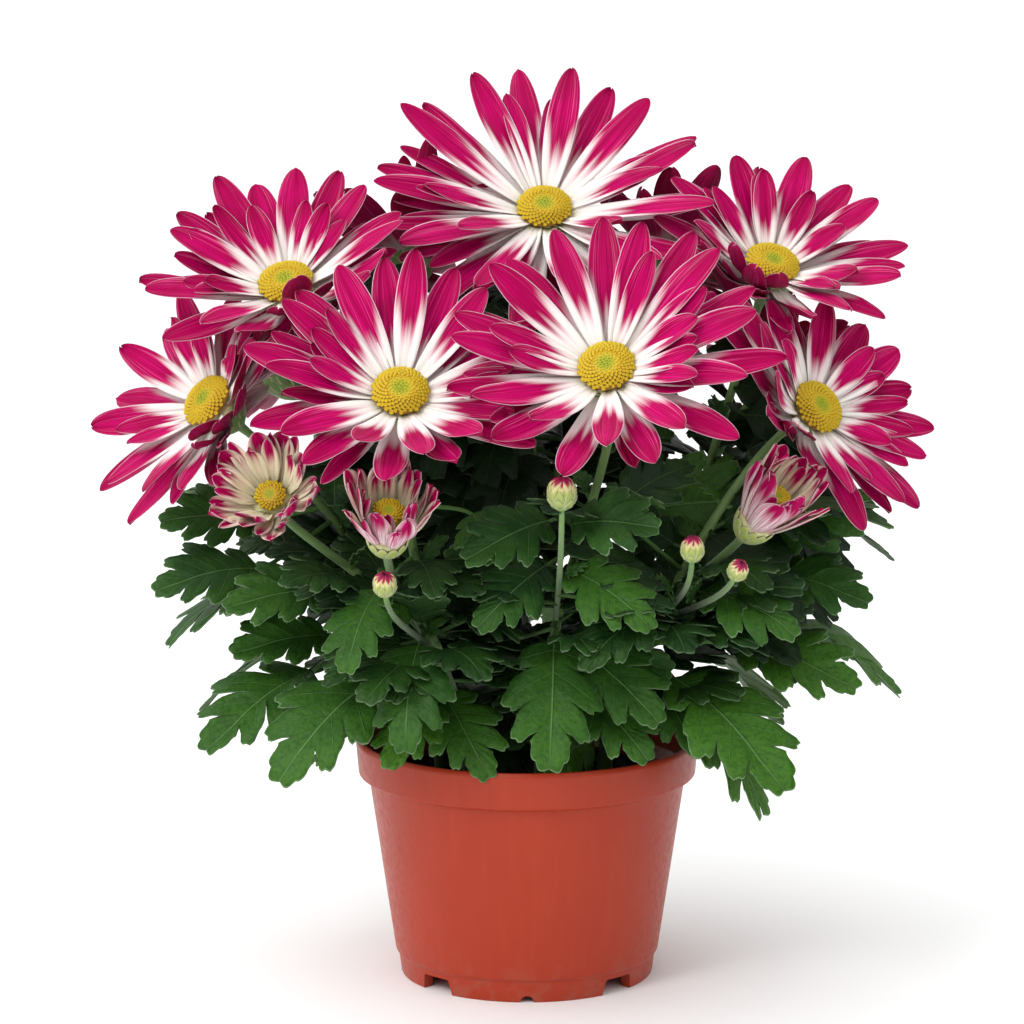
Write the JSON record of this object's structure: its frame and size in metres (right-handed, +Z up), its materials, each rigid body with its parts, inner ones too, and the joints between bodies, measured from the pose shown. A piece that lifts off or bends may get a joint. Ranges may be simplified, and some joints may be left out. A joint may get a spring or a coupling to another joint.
{
  "type": "pot chrysanthemum",
  "caption": "Flowering pot chrysanthemum with daisy-like white-centred magenta blooms, half-open heads, buds and lobed leaves, in a plastic growing pot that stands on its own feet.",
  "frame": {"origin": "on the ground, under the middle of the plant's spread", "axes": "+Z up along the pot's axis, -Y to the front, where the largest open blooms face"},
  "size_m": [0.2888, 0.258, 0.313],
  "materials": {
    "pot_plastic": "satin",
    "soil": "matte",
    "leaf_and_stem": "matte",
    "ray_petals": "matte",
    "disc_florets": "matte",
    "bud_petals": "matte"
  },
  "bodies": {
    "root": {"bud_low_left": "bud_petals", "bud_low_right": "bud_petals", "bud_middle": "bud_petals", "bud_right": "bud_petals", "disc_back": "disc_florets", "disc_back_left": "disc_florets", "disc_back_right": "disc_florets", "disc_back_upper_left": "disc_florets", "disc_back_upper_right": "disc_florets", "disc_front_left": "disc_florets", "disc_front_right": "disc_florets", "disc_half_left": "disc_florets", "disc_half_middle": "disc_florets", "disc_half_right": "disc_florets", "disc_left": "disc_florets", "disc_right": "disc_florets", "disc_top": "disc_florets", "disc_upper_left": "disc_florets", "disc_upper_right": "disc_florets", "pot": "pot_plastic", "rays_back": "ray_petals", "rays_back_left": "ray_petals", "rays_back_right": "ray_petals", "rays_back_upper_left": "ray_petals", "rays_back_upper_right": "ray_petals", "rays_front_left": "ray_petals", "rays_front_right": "ray_petals", "rays_half_left": "ray_petals", "rays_half_middle": "ray_petals", "rays_half_right": "ray_petals", "rays_left": "ray_petals", "rays_right": "ray_petals", "rays_top": "ray_petals", "rays_upper_left": "ray_petals", "rays_upper_right": "ray_petals", "soil": "soil", "stem_back": "leaf_and_stem", "stem_front_left": "leaf_and_stem", "stem_front_middle": "leaf_and_stem", "stem_front_right": "leaf_and_stem", "stem_left": "leaf_and_stem", "stem_right": "leaf_and_stem"}
  },
  "joints": []
}
